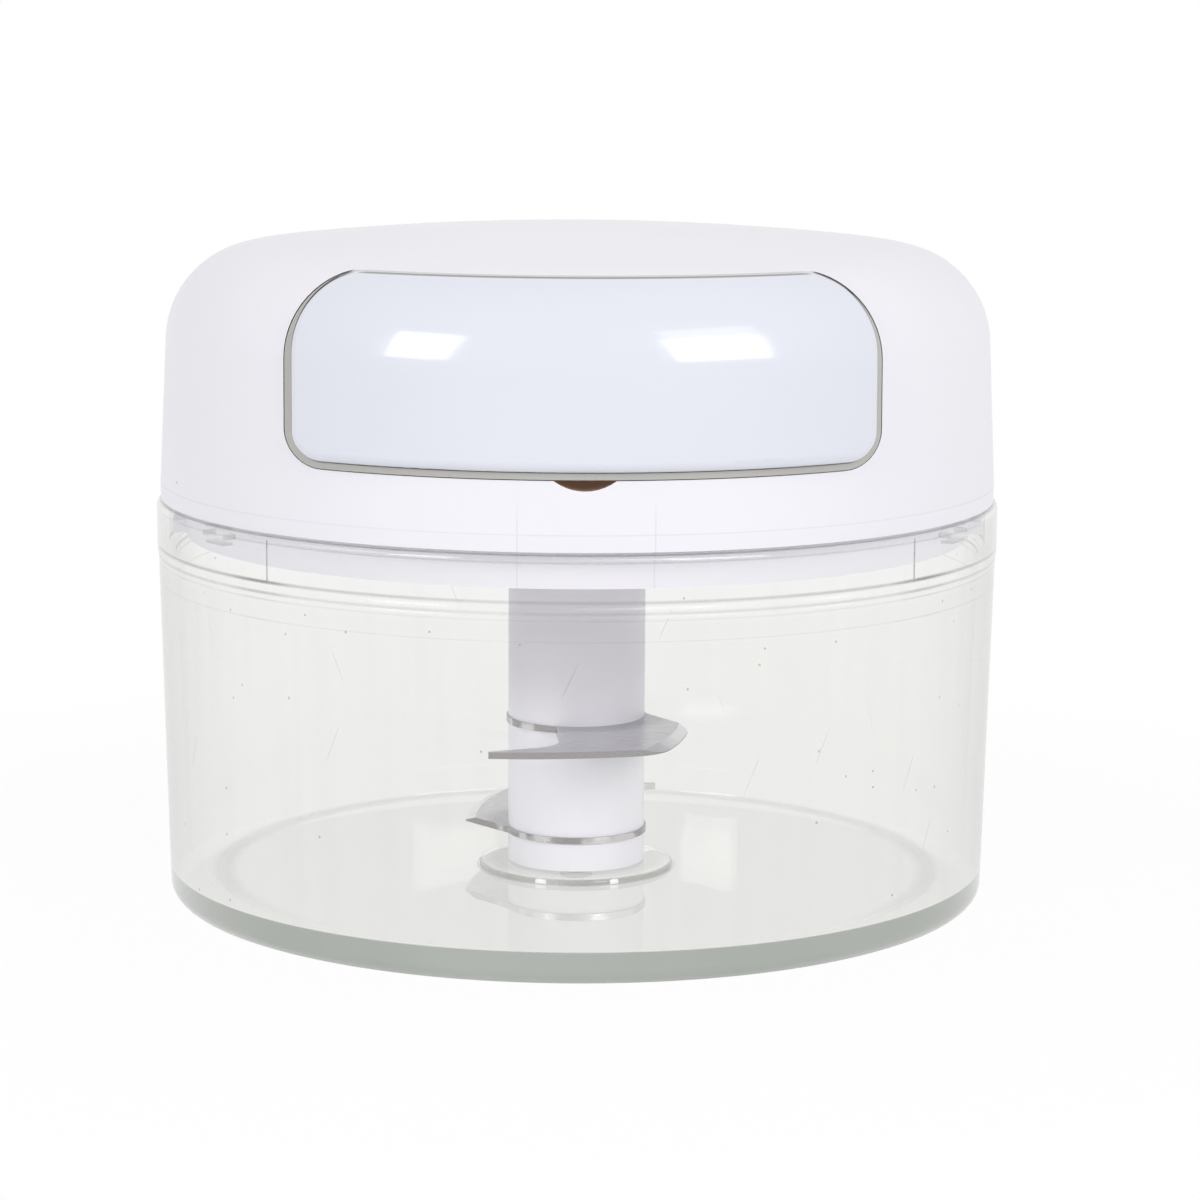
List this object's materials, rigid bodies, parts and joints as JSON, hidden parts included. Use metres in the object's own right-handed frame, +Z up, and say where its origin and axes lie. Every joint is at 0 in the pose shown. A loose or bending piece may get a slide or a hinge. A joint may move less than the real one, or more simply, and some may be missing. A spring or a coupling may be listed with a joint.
{
  "type": "hand chopper",
  "caption": "Hand-pulled food chopper: round clear bowl, white domed lid with a pull handle and cord reel inside, curved steel blades on a turning post.",
  "frame": {"origin": "centre of the bowl's underside, on the axis of the blade post", "axes": "+Z up along the axis; the pull handle faces -Y; +X is to the right seen from the handle's side"},
  "size_m": [0.13, 0.1307, 0.1036],
  "materials": {
    "clear_plastic": "clear, polished",
    "white_plastic": "satin white, injection moulded",
    "cover_plastic": "high gloss white",
    "grey_plastic": "warm grey, satin",
    "post_plastic": "satin white, injection moulded",
    "works_plastic": "natural acetal, satin",
    "blade_steel": "stamped stainless steel, fine grinding marks",
    "pin_steel": "ground stainless steel",
    "spring_steel": "blued spring strip",
    "screw_steel": "nickel plated",
    "bronze": "sintered bronze, dull",
    "cord": "braided polyester"
  },
  "bodies": {
    "bowl": {"bowl": "clear_plastic", "pivot_pin": "pin_steel"},
    "blade_unit": {"post_foot": "post_plastic", "pin_bush": "works_plastic", "blade_lower": "blade_steel", "post_spacer": "post_plastic", "blade_upper": "blade_steel", "post_head": "post_plastic"},
    "lid": {"lid_base": "white_plastic", "lid_shell": "white_plastic", "lid_screws": "screw_steel", "drive_bush": "bronze", "thrust_washer": "works_plastic", "cord_eyelet": "pin_steel", "reel_axle": "pin_steel", "axle_clip": "spring_steel", "spring_case": "works_plastic", "spring_cover": "works_plastic", "case_screws": "screw_steel", "return_spring": "spring_steel"},
    "reel": {"cord_reel": "works_plastic", "reel_flange": "works_plastic", "reel_bush": "bronze", "cord_winding": "cord"},
    "drive": {"clutch_carrier": "works_plastic", "drive_shaft": "pin_steel", "shaft_clip": "spring_steel", "pawl_pins": "pin_steel", "pawl_spring_a": "spring_steel", "pawl_spring_b": "spring_steel"},
    "pawl_a": {"pawl_a": "pin_steel"},
    "pawl_b": {"pawl_b": "pin_steel"},
    "handle": {"handle_cover": "cover_plastic", "handle_back": "grey_plastic", "handle_screws": "screw_steel", "cord_toggle": "works_plastic", "cord_run": "cord"}
  },
  "joints": [
    {"name": "lid_lift", "type": "slide", "parent": "bowl", "child": "lid", "axis": [0, 0, 1], "range_m": [0, 0.08]},
    {"name": "handle_pull", "type": "slide", "parent": "lid", "child": "handle", "axis": [0, -1, 0], "range_m": [0, 0.4], "stiffness_N_per_m": 12, "springref_m": -0.3, "deforming": ["cord_run"]},
    {"name": "reel_spin", "type": "hinge", "parent": "lid", "child": "reel", "pos_m": [0, 0, 0.08], "axis": [0, 0, 1], "range_deg": [-1, 925], "deforming": ["return_spring"]},
    {"name": "drive_spin", "type": "hinge", "parent": "lid", "child": "drive", "pos_m": [0, 0, 0.065], "axis": [0, 0, 1], "range_deg": [-1, 925]},
    {"name": "blade_spin", "type": "hinge", "parent": "bowl", "child": "blade_unit", "pos_m": [0, 0, 0.02], "axis": [0, 0, 1], "range_deg": [-1, 925]},
    {"name": "pawl_a_swing", "type": "hinge", "parent": "drive", "child": "pawl_a", "pos_m": [0.0165, 0, 0.075], "axis": [0, 0, -1], "range_deg": [0, 12], "stiffness_Nm_per_rad": 0.001, "springref_deg": -11.46, "deforming": ["pawl_spring_a"]},
    {"name": "pawl_b_swing", "type": "hinge", "parent": "drive", "child": "pawl_b", "pos_m": [-0.0165, 0, 0.075], "axis": [0, 0, -1], "range_deg": [0, 12], "stiffness_Nm_per_rad": 0.001, "springref_deg": -11.46, "deforming": ["pawl_spring_b"]}
  ],
  "couplings": [
    {"joint": "reel_spin", "follows": "handle_pull", "rad_per_m": 40.161},
    {"joint": "drive_spin", "follows": "handle_pull", "rad_per_m": 40.161},
    {"joint": "blade_spin", "follows": "handle_pull", "rad_per_m": 40.161}
  ]
}
